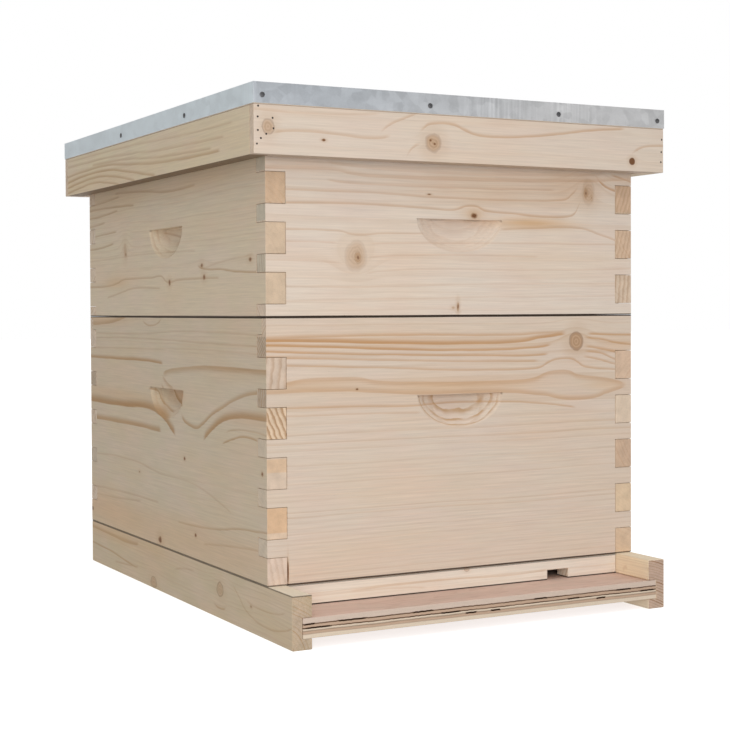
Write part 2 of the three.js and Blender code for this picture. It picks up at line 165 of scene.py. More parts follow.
class Graph:
    """A material being built: each method adds one node and returns its output."""

    def __init__(self, name):
        self.material = bpy.data.materials.new(name)
        self.material.use_nodes = True
        self.tree = self.material.node_tree
        self.tree.nodes.clear()

    def node(self, kind, inputs, output=0, **settings):
        made = self.tree.nodes.new(kind)
        for key, setting in settings.items():
            setattr(made, key, setting)
        for key, value in inputs.items():
            self.feed(made.inputs[key], value)
        return Value(self, made.outputs[output])

    def feed(self, socket, value):
        if isinstance(value, Value):
            self.tree.links.new(value.socket, socket)
        elif socket.type == "RGBA" and len(value) == 3:
            socket.default_value = (*value, 1)
        else:
            socket.default_value = value

    def math(self, operation, first, second=0.0):
        return self.node("ShaderNodeMath", {0: first, 1: second}, operation=operation)

    def vector(self, operation, first, second, output=0):
        return self.node(
            "ShaderNodeVectorMath", {0: first, 1: second}, output, operation=operation)

    def combine(self, x, y, z=0.0):
        return self.node("ShaderNodeCombineXYZ", {0: x, 1: y, 2: z})

    def step(self, value, low, high, start=0.0, end=1.0):
        """A soft step from start to end as the value goes from low to high."""
        return self.node(
            "ShaderNodeMapRange", {0: value, 1: low, 2: high, 3: start, 4: end},
            interpolation_type="SMOOTHSTEP")

    def fall(self, value, low, high):
        """The same from one down to zero."""
        return self.step(value, low, high, 1.0, 0.0)

    def noise(self, x, y, z, detail=2.0):
        """Noise about zero, from coordinates already divided by its grain size."""
        return self.node(
            "ShaderNodeTexNoise",
            {"Vector": self.combine(x, y, z), "Scale": 1.0, "Detail": detail}) - 0.5

    def curve(self, share, heights):
        """A smooth curve through points, both ways 0 to 1."""
        made = self.tree.nodes.new("ShaderNodeFloatCurve")
        line = made.mapping.curves[0]
        for spot, (x, y) in zip(line.points, (heights[0], heights[-1])):
            spot.location = (x, y)
        for x, y in heights[1:-1]:
            line.points.new(x, y)
        made.mapping.update()
        self.feed(made.inputs[1], share)
        return Value(self, made.outputs[0])

    def dice(self, value, seed):
        """A steady random number, 0 to 1, for each whole value."""
        return self.node(
            "ShaderNodeTexWhiteNoise", {"Vector": self.combine(value, seed)},
            noise_dimensions="2D")

    def mix(self, share, first, second, blend="MIX"):
        return self.node(
            "ShaderNodeMix", {0: share, 6: first, 7: second}, 2, data_type="RGBA",
            blend_type=blend)

    def scale(self, colour, amount):
        """A colour made lighter or darker by an amount."""
        return self.vector("MULTIPLY", colour, self.combine(amount, amount, amount))

    def place(self):
        """Object coordinates in millimetres, as x, y and z."""
        spot = self.node("ShaderNodeTexCoord", {}, 3)
        split = self.tree.nodes.new("ShaderNodeSeparateXYZ")
        self.feed(split.inputs[0], self.vector("DIVIDE", spot, (MM, MM, MM)))
        return [Value(self, socket) for socket in split.outputs]

    def facing(self, axis):
        """How squarely the surface faces along an axis, 0 to 1."""
        split = self.tree.nodes.new("ShaderNodeSeparateXYZ")
        self.feed(split.inputs[0], self.node("ShaderNodeTexCoord", {}, 1))
        return self.math("ABSOLUTE", Value(self, split.outputs[axis]))

    def finish(self, colour, roughness, height=None, relief=0.2, strength=0.5, **sockets):
        """The shader and the output; height is in units of relief millimetres."""
        shader = self.tree.nodes.new("ShaderNodeBsdfPrincipled")
        self.feed(shader.inputs["Base Color"], colour)
        self.feed(shader.inputs["Roughness"], roughness)
        for name, value in sockets.items():
            self.feed(shader.inputs[name.replace("_", " ")], value)
        if height is not None:
            bump = self.node(
                "ShaderNodeBump",
                {"Height": height, "Distance": relief * MM, "Strength": strength})
            self.tree.links.new(bump.socket, shader.inputs["Normal"])
        out = self.tree.nodes.new("ShaderNodeOutputMaterial")
        self.tree.links.new(shader.outputs[0], out.inputs[0])
        return self.material


# ---------- pine

# A board's own coordinates: u along the grain, v across the seen face, w into the wood. Each is
# an axis, the place in metres where it starts, and its direction.
Axis = namedtuple("Axis", "index start sign")
X, Y, Z = 0, 1, 2


def seen_from(node, side):
    """A board's coordinates as it is seen from one side: u to the right, v down, w inwards."""
    low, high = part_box(node)
    return {
        "front": (Axis(X, low.x, 1), Axis(Z, high.z, -1), Axis(Y, low.y, 1)),
        "rear": (Axis(X, high.x, -1), Axis(Z, high.z, -1), Axis(Y, high.y, -1)),
        "left": (Axis(Y, high.y, -1), Axis(Z, high.z, -1), Axis(X, low.x, 1)),
        "right": (Axis(Y, low.y, 1), Axis(Z, high.z, -1), Axis(X, high.x, -1)),
        "top": (Axis(Y, low.y, 1), Axis(X, low.x, 1), Axis(Z, high.z, -1)),
        "upright": (Axis(Z, high.z, -1), Axis(X, low.x, 1), Axis(Y, low.y, 1)),
    }[side]


# Growth rings: the pith's place across and behind the face, the width of a ring, how dark the
# summer wood is, how far rings wander, and the stretch across which they fade to a fine grain.
Rings = namedtuple("Rings", "centre pith spacing contrast wander fade_from fade_to faded",
                   defaults=(0.6, 5.0, 1e4, 2e4, 1.0))
# A knot's middle, its half sizes, how far its swirl reaches, how strong it is, how dark its heart
# is and how dark its rim is.
Knot = namedtuple("Knot", "u v wide tall reach strength dead rim", defaults=(3.0, 0.8, 0.0, 0.35))
# Places where the rings bulge towards the face (push) or shift across it (shift).
Swell = namedtuple("Swell", "u v wide tall push shift", defaults=(0.0,))
# A stretch of the board that is darker and yellower.
Zone = namedtuple("Zone", "u v wide tall amount")
# One bold ring: the points that it runs through, how far it shades off above its crisp lower edge
# (or, if negative, below its crisp upper edge), and how dark it is.
Line = namedtuple("Line", "points width amount")
# A finger's end: its middle and half height, whether it is at the board's far end, its tint and
# how strongly that shows, and its rings' lean, spacing and darkness.
Finger = namedtuple("Finger", "v half far tint amount lean spacing dark", defaults=(0.0, 3.0, 0.0))
# The colour painted on the faces that look up or down, and how strongly it shows: painted light on
# the rail tops, painted shade under the rims.
Level = namedtuple("Level", "tint amount")
CURVE_MARGIN = 0.25
FINGERS_SPLIT = (200, 210)             # u that parts the near end's fingers from the far end's
END_FADE = 9.0                         # how soon a line ends, in millimetres
BURIED = (0.7, 1.6)                    # depth from which layers under the face show
LAYER_THICK = 3.9                      # and how thick those layers are
SEAM_SHADE_CLOSE, SEAM_SHADE_FAR = 0.75, 1.25    # how far the painted shade and grime of a seam reach from an edge, in millimetres


def finger_ends(half, far, *marks):
    """Fingers of one height at one end of a board, each as its middle and then its looks."""
    return [Finger(v, half, far, *looks) for v, *looks in marks]


def pine(name, axes, rings, knots=(), swells=(), zones=(), lines=(), fingers=(),
         early=EARLY_FRONT, end=END_PALE, streak=STREAK, level=None, seams=(0.0, 0.0), tall=0.0,
         layers=0.6, seed=0):
    """Wood whose rings, knots and lines are placed in the board's own coordinates."""
    g = Graph(name)
    place = g.place()
    u, v, w = [(place[a.index] - a.start / MM) * a.sign for a in axes]
    shift = seed * 37.0
    flat = g.combine(u, v)

    def away_from(mark):
        off = g.vector("SUBTRACT", flat, (mark.u, mark.v, 0))
        return g.vector("DIVIDE", off, (mark.wide, mark.tall, 1))

    def near(mark):
        away = away_from(mark)
        return g.math("EXPONENT", g.vector("DOT_PRODUCT", away, away, 1) * -1)

    # Slow and fine wander of the ring surfaces, long along the grain.
    slow = g.noise(u / 210 + shift, v / 60, w / 60, 1.0)
    fine = g.noise(u / 55 + shift, v / 16, w / 16 + shift, 2.0)
    bent = v + slow * (2 * rings.wander) + fine * (rings.wander * 0.35)
    pith = w + rings.pith
    for knot in knots:
        swirl = near(Swell(
            knot.u, knot.v, knot.wide * knot.reach * 1.5, knot.tall * knot.reach, 0))
        bent = bent - (v - knot.v) * swirl * 0.7
        pith = pith - swirl * (knot.tall * 0.5)
    for swell in swells:
        rise = near(swell)
        pith = pith - rise * swell.push
        bent = bent - rise * swell.shift
    across = bent - rings.centre
    radius = g.math("SQRT", across * across + pith * pith)

    # Each ring goes from pale to dark and ends in a crisp edge.
    count = radius / rings.spacing + g.noise(radius / (2.3 * rings.spacing), shift, 0.0, 1.0) * 1.4
    turn = g.math("FRACT", count)
    ring = g.math("FLOOR", count)
    profile = g.step(turn, 0.35, 0.93) * g.fall(turn, 0.95, 1.0)
    bold = g.dice(ring, seed) ** 1.6 * 0.8 + 0.2
    patchy = g.noise(u / 130, ring * 3.7, shift, 1.0) * 0.9 + 1.0
    late = profile * profile * bold * patchy * rings.contrast
    late = late * g.step(v, rings.fade_from, rings.fade_to, 1.0, rings.faded)

    fibre = g.noise(u / 26, v / 0.7, w / 0.7 + shift, 3.0)
    hair = g.noise(u / 60 + shift, v / 1.7, w / 1.7, 2.0)
    tone = g.noise(u / 170 + shift, v / 45, w / 45, 2.0)
    blush = g.noise(u / 60, v / 26 + shift, w / 26, 3.0)
    fleck = g.step(g.noise(u / 5, v / 0.45, w / 0.45 + shift, 1.0), 0.2, 0.3)
    end_share = g.step(g.facing(axes[0].index), 0.6, 0.85)
    depth = w + g.noise(u / 22, v / 22, shift, 2.0) * 3.6
    layer = g.math("FRACT", depth / LAYER_THICK + seed * 0.31)
    buried = g.step(layer, 0.35, 0.85) * g.fall(layer, 0.92, 1.0) * g.step(w, *BURIED)
    buried = buried * g.step(g.noise(u / 16 + shift, v / 16, w / 3, 1.0), -0.16, 0.14, 0.35, 1.0)
    late = g.math("MAXIMUM", late * (end_share * 2.2 + 1.0), buried * (1.0 - end_share) * layers)
    late = g.math("MINIMUM", late, 1.0)

    colour = g.mix(g.step(blush, -0.16, 0.22) * 0.30, early, BLUSH)
    colour = g.mix(late, colour, LATE_WOOD)
    for zone in zones:
        colour = g.mix(near(zone) * zone.amount, colour, HONEY)
    colour = g.mix(g.step(tone, -0.22, 0.28) * 0.22, colour, HONEY)

    # Bold rings, drawn along their own curves.
    wavy = v + fine * 1.6 + hair * 1.2
    drawn = None
    for line in lines:
        first, last = line.points[0][0], line.points[-1][0]
        low = min(point[1] for point in line.points)
        high = max(point[1] for point in line.points)
        room = (high - low) * CURVE_MARGIN + 1.0
        low, high = low - room, high + room
        share = g.node("ShaderNodeMapRange", {0: u, 1: first, 2: last})
        way = g.curve(share, [((a - first) / (last - first), (b - low) / (high - low))
                              for a, b in line.points])
        off = wavy - (way * (high - low) + low)
        if line.width < 0:
            off = off * -1
        width = abs(line.width)
        shade = g.step(off, -width * 1.25, -width * 0.12) * g.fall(off, 0.0, 0.5 + width * 0.1)
        fade = END_FADE / (last - first)
        shade = shade * g.step(share, 0.0, fade) * g.fall(share, 1 - fade, 1.0)
        shade = shade * line.amount
        drawn = shade if drawn is None else g.math("MAXIMUM", drawn, shade)
    if drawn is not None:
        drawn = drawn * (slow * 0.9 + 1.0) * (1.0 - end_share)
        colour = g.mix(drawn, colour, streak)
    colour = g.scale(colour, fibre * 0.16 + hair * 0.24 + tone * 0.10 + 1.0 - fleck * 0.12)

    # Knots: rings of their own, a dark rim and a pale halo.
    relief = late * 0.5 + fibre
    for knot in knots:
        away = away_from(knot)
        ragged = g.noise(u / knot.wide, v / knot.tall, shift, 3.0) * (0.7 - knot.rim * 0.7)
        core = g.vector("LENGTH", away, away, 1) + ragged
        whorl = g.math("SINE", core * (5.0 + knot.tall * 1.4)) * 0.30 + 0.55
        heart = g.mix(whorl + knot.rim * 0.6, KNOT_HEART, KNOT_RING)
        inside = g.fall(core, 0.55 + knot.rim * 0.4, 1.1)
        rim = g.step(core, 0.74, 0.97) * g.fall(core, 0.98, 1.15)
        pip = g.fall(core, knot.dead, knot.dead + 0.4)
        halo = g.fall(core, 0.9, 2.8)
        colour = g.mix(halo * 0.26 * knot.strength, colour, LATE_WOOD)
        colour = g.mix(inside * knot.strength * 0.8, colour, heart)
        if knot.rim:
            colour = g.mix(rim * knot.rim, colour, KNOT_RIM)
        if knot.dead:
            colour = g.mix(pip * knot.strength, colour, KNOT_RIM)
        relief = relief - rim * 0.8

    colour = g.mix(end_share, colour, g.mix(1.0, colour, end, "MULTIPLY"))
    for finger in fingers:
        off = v - finger.v
        cover = g.fall(g.math("ABSOLUTE", off), finger.half - 0.4, finger.half + 0.8)
        cover = cover * end_share * g.step(u, *FINGERS_SPLIT, 1.0 - finger.far, float(finger.far))
        colour = g.mix(cover * finger.amount, colour, finger.tint)
        if finger.dark:
            slant = w + off * finger.lean + g.noise(w / 7 + shift, v / 7, 0.0, 2.0) * 4
            turn = g.math("FRACT", slant / finger.spacing)
            stripe = g.step(turn, 0.3, 0.8) * g.fall(turn, 0.86, 1.0)
            colour = g.mix(cover * stripe * finger.dark, colour, STRIPE)
    # Painted light or shade on the faces that look up or down.
    if level:
        colour = g.mix(g.step(g.facing(Z), 0.7, 0.95) * level.amount, colour, level.tint)
    speck = g.noise(place[0] / 0.6, place[1] / 0.6, place[2] / 0.6, 2.0)
    cloudy = g.noise(place[0] / 9, place[1] / 9, place[2] / 9 + shift, 2.0)
    colour = g.scale(colour, (speck * 0.50 + cloudy * 0.40) * end_share + 1.0)

    # Painted shade, with some grime, along the top and bottom edges where boards meet.
    upright = g.fall(g.facing(Z), 0.9, 0.98)
    top, bottom = seams
    if top:
        seam_shade_and_grime = g.step(v + hair * 0.5, SEAM_SHADE_CLOSE, SEAM_SHADE_FAR, top, 0.0)
        colour = g.mix(seam_shade_and_grime * upright, colour, SEAM_SHADE_AND_GRIME)
    if bottom:
        seam_shade_and_grime = g.step(v + hair * 0.5, tall - SEAM_SHADE_FAR, tall - SEAM_SHADE_CLOSE, 0.0, bottom)
        colour = g.mix(seam_shade_and_grime * upright, colour, SEAM_SHADE_AND_GRIME)
    roughness = fibre * 0.16 + late * -0.10 + 0.62
    return g.finish(colour, roughness, relief, relief=0.16, strength=0.6, Specular_IOR_Level=0.14)


# ---------- other materials

# A glue line's height above the underside, half thickness and strength, and the stretches
# (from, to) where it opens into dark gaps.
Glue = namedtuple("Glue", "height half strength gaps", defaults=((),))


def plywood(name, node, glue_lines, seed=0):
    """A rotary-cut face, and edges of plies with dark glue lines and gaps."""
    g = Graph(name)
    x, y, z = g.place()
    low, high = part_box(node)
    shift = seed * 29.0
    waver = g.noise(x / 50 + shift, y / 50, 0.0, 2.0) * 1.1
    level = z - low.z / MM + waver
    start = x - low.x / MM
    along = g.noise(x / 18, y / 18, z / 0.5 + shift, 2.0)
    speckle = g.noise(x / 0.9, y / 0.9, z / 0.9, 2.0)
    broken = g.noise(x / 14 + shift, y / 14, level / 2, 2.0)
    ragged = g.noise(x / 3.5, y / 3.5, shift, 3.0) * 0.9
    edge = PLY_PALE
    dark = None
    for number, glue in enumerate(glue_lines):
        if number % 2 == 0:
            below = g.fall(level, glue.height - 0.3, glue.height + 0.3)
        else:
            above = g.step(level, glue.height - 0.3, glue.height + 0.3)
            edge = g.mix(below * above, edge, PLY_CROSS)
        off = g.math("ABSOLUTE", level + ragged - glue.height)
        seam = g.step(off, glue.half * 0.3, glue.half, glue.strength, 0.0)
        seam = seam * (broken * 0.9 + 0.95)
        for first, last in glue.gaps:
            reach = (last - first) / 2
            away = g.math("ABSOLUTE", start - (first + last) / 2) / reach
            gap = g.step(away + broken * 0.9 + speckle * 0.3, 0.7, 1.05, 1.6, 0.0)
            seam = g.math("MAXIMUM", seam, gap * g.fall(off, glue.half * 0.5, glue.half * 1.2))
        dark = seam if dark is None else g.math("MAXIMUM", dark, seam)
    top_ply = g.step(level, glue_lines[0].height, glue_lines[0].height + 0.6)
    edge = g.mix(top_ply * 0.8, edge, TOP_PLY)
    edge = g.scale(edge, along * 0.30 + speckle * 0.22 + 1.0)
    # Gaps take painted shade, glue lines their own dark colour.
    glue_colour = g.mix(g.step(dark, 0.8, 1.3), GLUE_LINE, PLY_VOID_SHADE)
    edge = g.mix(g.math("MINIMUM", dark, 1.0), edge, glue_colour)

    figure = g.noise(x / 140 + shift, y / 26, 3.0, 3.0)
    pores = g.noise(x / 11, y / 0.8, shift, 3.0)
    blotch = g.noise(x / 34, y / 14, shift + 5.0, 3.0)
    swirl = g.math("FRACT", figure * 7.0 + y / 60)
    line = g.step(swirl, 0.55, 0.95) * g.fall(swirl, 0.96, 1.0)
    face = g.mix(line * 0.20, VENEER, VENEER_LINE)
    face = g.mix(g.step(blotch, -0.10, 0.30) * 0.45, face, VENEER_BLOTCH)
    face = g.scale(face, pores * 0.22 + figure * 0.22 + 0.92)

    flat = g.step(g.facing(Z), 0.5, 0.8)
    colour = g.mix(flat, edge, face)
    relief = pores * flat - dark * (1.0 - flat)
    return g.finish(colour, pores * 0.15 + 0.66, relief, relief=0.2, Specular_IOR_Level=0.1)


def galvanised():
    g = Graph("galvanised_sheet")
    x, y, z = g.place()
    cell = g.node(
        "ShaderNodeTexVoronoi", {"Vector": g.combine(x / 9, y / 9, z / 9), "Scale": 1.0}, 1)
    split = g.tree.nodes.new("ShaderNodeSeparateColor")
    g.feed(split.inputs[0], cell)
    spangle = Value(g, split.outputs[0]) - 0.5
    frost = g.noise(x / 1.6, y / 1.6, z / 1.6, 3.0)
    streak = g.noise(x / 2.6, y / 2.6, z / 60, 2.0)
    streaky = g.step(g.noise(x / 70, y / 70, 1.0, 1.0), -0.05, 0.2)
    stain = g.noise(x / 38, y / 38, z / 16, 3.0)
    side = g.step(g.facing(X), 0.6, 0.9)
    front = g.step(g.facing(Y), 0.6, 0.9)
    grey = spangle * 0.10 + frost * 0.14 + streak * streaky * 0.5 + stain * 0.30
    # Painted light: the sides are drawn much lighter and the front a little darker, for the light
    # each catches.
    colour = g.mix(front * g.step(x, -190, 130), ZINC, ZINC_WARM)
    colour = g.scale(colour, grey + 1.0 - front * 0.06)
    colour = g.mix(side, colour, g.scale(ZINC_SIDE_LIT, grey * 0.35 + 1.0))
    roughness = spangle * 0.12 + frost * 0.16 + stain * 0.10 + 0.46
    return g.finish(colour, roughness, frost + stain, relief=0.05, strength=0.4, Metallic=0.45)


def nail_steel(name, dark, light, metallic):
    g = Graph(name)
    x, y, z = g.place()
    pitting = g.noise(x / 0.5, y / 0.5, z / 0.5, 3.0)
    colour = g.mix(g.step(pitting, 0.0, 0.25), dark, light)
    return g.finish(colour, pitting * 0.3 + 0.42, pitting, relief=0.04, Metallic=metallic)


WAX_CELL = 5.4                         # across a cell's flats, in millimetres


def beeswax():
    """Pressed foundation: hexagon cells on the sheet's two faces."""
    g = Graph("beeswax")
    x, y, z = g.place()
    across = WAX_CELL
    rise = across * math.sqrt(3)

    def wall(shift_y, shift_z):
        dy = g.math("PINGPONG", y + shift_y, across / 2)
        dz = g.math("PINGPONG", z + shift_z, rise / 2)
        slant = dy * 0.5 + dz * (math.sqrt(3) / 2)
        return g.math("MAXIMUM", dy, slant)

    first = wall(500.0 * across, 500.0 * rise)
    second = wall(500.5 * across, 500.5 * rise)
    middle = g.math("MINIMUM", first, second)
    ridge = g.step(middle, across * 0.36, across * 0.5)
    cloud = g.noise(x / 30, y / 30, z / 30, 3.0)
    colour = g.mix(ridge * 0.5, WAX, WAX_RIDGE)
    colour = g.scale(colour, cloud * 0.3 + 1.0)
    return g.finish(colour, cloud * 0.1 + 0.48, ridge, relief=0.5, strength=0.8,
                    Subsurface_Weight=0.15, Subsurface_Scale=0.002)


# ---------- finished copies

# How far the edges of each kind of piece are eased, in millimetres.
BOARD_EASE, RAIL_EASE, REDUCER_EASE, RIM_EASE, INNER_RIM_EASE = 0.45, 0.9, 0.7, 0.6, 0.5
PLY_EASE, SHEET_EASE, FRAME_EASE, SMALL_EASE = 0.3, 0.22, 0.4, 0.2

WELD = 1e-6
FLAT_ANGLE = math.radians(0.4)
EDGE_ANGLE = math.radians(30)
SMOOTH_ANGLE = math.radians(24)


def shown(name, shape, body, materials, stands_for=()):
    """A mesh made into a piece that rides on its body."""
    mesh = bpy.data.meshes.new(name)
    shape.to_mesh(mesh)
    shape.free()
    for material in materials:
        mesh.materials.append(material)
    mesh.shade_smooth()
    mesh.set_sharp_from_angle(angle=SMOOTH_ANGLE)
    piece = bpy.data.objects.new(name, mesh)
    link(piece)
    normals = piece.modifiers.new("even_normals", "WEIGHTED_NORMAL")
    normals.keep_sharp = True
    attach(piece, body)
    if stands_for:
        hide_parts(*stands_for)


def copied(node, ease):
    """A CAD node's shape with its edges eased by that many millimetres."""
    shape = bmesh.new()
    shape.from_mesh(nodes[node].data)
    for layers in (shape.loops.layers.uv, shape.loops.layers.float_vector):
        for layer in list(layers.values()):
            layers.remove(layer)
    bmesh.ops.remove_doubles(shape, verts=shape.verts, dist=WELD)
    bmesh.ops.dissolve_limit(shape, angle_limit=FLAT_ANGLE, verts=shape.verts, edges=shape.edges)
    sharp = [e for e in shape.edges if e.is_manifold and e.calc_face_angle_signed() > EDGE_ANGLE]
    bmesh.ops.bevel(shape, geom=sharp, offset=ease * MM, offset_type="OFFSET", segments=2,
                    profile=0.5, affect="EDGES", clamp_overlap=False)
    return shape


def finished(node, ease, material):
    body = nodes[node]["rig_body"]
    shown(f"{node}_finished", copied(node, ease), body, [material], [node])


def board(name, node, side, ease, rings, **looks):
    """A finished board whose grain and knots are placed as seen from one side."""
    finished(node, ease, pine(f"pine_{name}", seen_from(node, side), rings, **looks))


# ---------- boxes

MEDIUM_TALL, DEEP_TALL = 168.3, 244.5

board(
    "deep_front", "deep_front_board", "front", BOARD_EASE,
    Rings(centre=72, pith=60, spacing=4.4, contrast=0.34, wander=3, fade_from=95, fade_to=125,
          faded=1.0),
    knots=[Knot(343.5, 26.3, 8.2, 9.4, 2.0, 0.95, 0.0, 0.45),
           Knot(93, 67.6, 1.4, 1.0, 2.0, 1.0, 0.5), Knot(20.8, 233, 0.7, 11.5, 1.0, 1.0, 0.6)],
    zones=[Zone(160, 26, 170, 9, 0.26), Zone(195, 68.5, 100, 6.5, 0.48), Zone(35, 64, 60, 6, 0.36),
           Zone(400, 30, 30, 8, 0.4), Zone(380, 71, 26, 5, 0.4)],
    lines=[
        Line([(-30, 20.5), (100, 18), (160, 18), (260, 19.5), (300, 18), (334, 17.5)], 3, 0.48),
        Line([(-30, 21.5), (60, 23), (130, 25.5), (200, 27), (260, 26.8), (300, 22.5), (333, 19)],
             4.5, 0.8),
        Line([(-30, 25), (60, 28), (150, 32), (230, 33.6), (275, 33), (315, 29)], 2.9, 0.76),
        Line([(-30, 30), (60, 34), (150, 37), (220, 38.5), (285, 40), (312, 37)], 2.5, 0.64),
        Line([(-30, 36), (60, 39), (130, 41.5), (200, 44), (300, 45.5)], 2.4, 0.5),
        Line([(-30, 42), (60, 46), (120, 48.5), (220, 53), (290, 53), (310, 47), (330, 43.5),
              (345, 48), (356, 53), (400, 57)], 2.6, 0.5),
        Line([(355, 19), (375, 20), (440, 22)], 2.5, 0.7),
        Line([(352, 23), (375, 25), (395, 29), (440, 33)], 2.5, 0.6),
        Line([(352, 32), (370, 34), (400, 39), (440, 43)], 3, 0.6),
        Line([(352, 37), (372, 38.5), (395, 46), (440, 50)], 2.5, 0.55),
        Line([(350, 42), (370, 45), (395, 51), (440, 54)], 2.5, 0.5),
        Line([(-30, 63), (20, 60), (40, 57), (85, 56.5), (120, 61), (200, 63.5), (270, 64),
              (292, 62), (325, 55), (345, 60), (385, 65), (408, 74)], -5, 0.42),
        Line([(-30, 70), (70, 69), (110, 71), (160, 74), (255, 75), (300, 79), (350, 85),
              (380, 80), (408, 72)], 5, 0.45),
        Line([(-30, 84), (100, 84), (150, 85.5), (210, 84.5), (255, 85), (290, 87), (345, 93.5)],
             2.2, 0.45),
        Line([(-30, 91), (100, 91), (165, 92)], 2.0, 0.3),
    ],
    fingers=finger_ends(
        10, False, (28, FINGER_GREY, 0.6, 0.8, 4.0, 0.75), (72.5, FINGER_GREY, 0.6, 0.1, 4.4, 0.7),
    ) + finger_ends(
        9, False, (120, FINGER_PALE, 0.7), (165, FINGER_PALE, 0.7), (210, FINGER_PALE, 0.7)),
    seams=(1.0, 0.9), tall=DEEP_TALL, layers=0.85, early=(0.765, 0.645, 0.532), seed=1)

board(
    "deep_left", "deep_left_board", "left", BOARD_EASE,
    Rings(centre=73, pith=70, spacing=5.0, contrast=0.20, wander=4, fade_from=40, fade_to=60,
          faded=0.6),
    knots=[Knot(303, 145, 2.6, 2.0, 2.0, 0.9, 0.5), Knot(168, 171, 3.4, 1.8, 2.0, 0.6, 0.2, 0.0),
           Knot(231, 238, 6.5, 5.0, 2.0, 0.9, 0.4, 0.0), Knot(332, 220, 2.8, 2.0, 2.0, 0.9, 0.5),
           Knot(495, 143, 2.6, 2.2, 2.0, 0.8, 0.4), Knot(3, 230, 3.0, 2.8, 2.0, 0.9, 0.5)],
    zones=[Zone(50, 3, 90, 7, 0.5), Zone(60, 226, 230, 24, 0.5), Zone(400, 228, 170, 22, 0.36),
           Zone(470, 96, 60, 6, 0.3), Zone(90, 88, 150, 7, 0.4), Zone(272, 82, 24, 6, 0.7),
           Zone(440, 56, 90, 8, 0.2)],
    lines=[
        Line([(-30, 10), (60, 8), (93, 5), (134, -1)], 5, 0.6),
        Line([(180, 4), (207, 10), (242, 1)], 2, 0.5),
        Line([(-30, 28), (140, 24), (290, 25), (540, 28)], 2, 0.3),
        Line([(-30, 20), (160, 19), (340, 15), (540, 21)], 2, 0.25),
        Line([(-30, 38), (200, 35), (360, 33), (540, 38)], 2, 0.2),
        Line([(-40, 48.5), (80, 48.5), (160, 48), (245, 50)], 4, 0.75),
        Line([(241, 62), (248, 57.5), (262, 55), (300, 52), (350, 49), (420, 48), (560, 49)],
             -6, 0.58),
        Line([(238, 60), (247, 65), (258, 70), (275, 74)], -5, 0.5),
        Line([(293, 97), (303, 107), (318, 110.5), (335, 112), (350, 108), (380, 95), (400, 89),
              (430, 80), (456, 74), (484, 70.5), (560, 68)], 4.5, 0.62),
        Line([(-40, 100), (111, 101), (204, 99.5), (226, 103), (250, 110), (266, 118), (280, 124)],
             9.5, 0.85),
        Line([(-10, 121.5), (100, 120.5), (238, 122)], 6.5, 0.72),
        Line([(352, 124), (375, 112), (396, 103), (415, 98), (434, 95.5), (462, 94), (570, 95)],
             8, 0.78),
        Line([(400, 123), (430, 116), (455, 112.5), (490, 114.5)], 2.2, 0.65),
        Line([(410, 111), (460, 106.5), (530, 111)], 2.0, 0.35),
        Line([(-30, 168), (40, 162), (160, 161), (230, 167), (310, 168), (360, 174), (424, 188)],
             2.2, 0.26),
        Line([(-30, 206), (90, 200), (230, 199)], 2.5, 0.3),
        Line([(-30, 213), (60, 210), (175, 203)], 2.5, 0.28),
        Line([(280, 213), (370, 209), (460, 199), (560, 195)], 2.5, 0.42),
        Line([(350, 227), (430, 219), (520, 213)], 2.5, 0.28),
        Line([(196, 79), (210, 79), (222, 90), (240, 97), (262, 101)], 2.5, 0.55),
        Line([(236, 72), (244, 78), (254, 86), (272, 90.5), (302, 91)], 4.5, 0.85),
    ],
    fingers=finger_ends(
        15, True, (51.5, (0.72, 0.57, 0.45), 0.9, 0.12, 7.5, 0.4),
        (96.5, (0.80, 0.61, 0.43), 0.9, -0.42, 5.4, 0.8), (142.5, (0.76, 0.60, 0.465), 0.9),
        (188, (0.78, 0.52, 0.32), 0.9), (233, (0.80, 0.64, 0.53), 0.85, -0.2, 6.0, 0.2),
    ) + [Finger(135, 6, True, (0.78, 0.52, 0.31), 0.6),
         Finger(199, 2.5, True, (0.84, 0.68, 0.54), 0.6)],
    early=(0.695, 0.59, 0.435), end=(0.95, 0.88, 0.89), streak=STREAK_SIDE, seams=(1.0, 0.7),
    tall=DEEP_TALL, layers=0.3, seed=3)

board(
    "deep_right", "deep_right_board", "right", BOARD_EASE,
    Rings(centre=110, pith=46, spacing=4.0, contrast=0.34, wander=6, fade_from=150, fade_to=190,
          faded=0.6),
    knots=[Knot(150, 84, 7, 9, 3.0, 0.85), Knot(402, 176, 4, 5, 3.0, 0.8)],
    swells=[Swell(260, 110, 120, 30, 4)],
    fingers=finger_ends(
        15, False, (51.5, (0.76, 0.55, 0.40), 0.75), (96.5, (0.82, 0.66, 0.51), 0.85),
        (142.5, (0.68, 0.48, 0.34), 0.75), (188, (0.82, 0.62, 0.42), 0.8),
        (233, (0.76, 0.56, 0.39), 0.7)),
    early=EARLY_SIDE, end=END_WARM, seams=(1.0, 0.8), tall=DEEP_TALL, seed=5)

board(
    "deep_rear", "deep_rear_board", "rear", BOARD_EASE,
    Rings(centre=150, pith=52, spacing=3.8, contrast=0.5, wander=6),
    knots=[Knot(110, 170, 8, 10, 3.0, 0.85), Knot(300, 60, 4, 5, 3.5, 0.7)],
    swells=[Swell(230, 150, 110, 26, 4)],
    fingers=finger_ends(
        10, True, (72.5, FINGER_GREY, 0.7, 0.6, 4.0, 0.7), (165, (0.56, 0.49, 0.38), 0.6)),
    seams=(1.0, 0.8), tall=DEEP_TALL, seed=7)

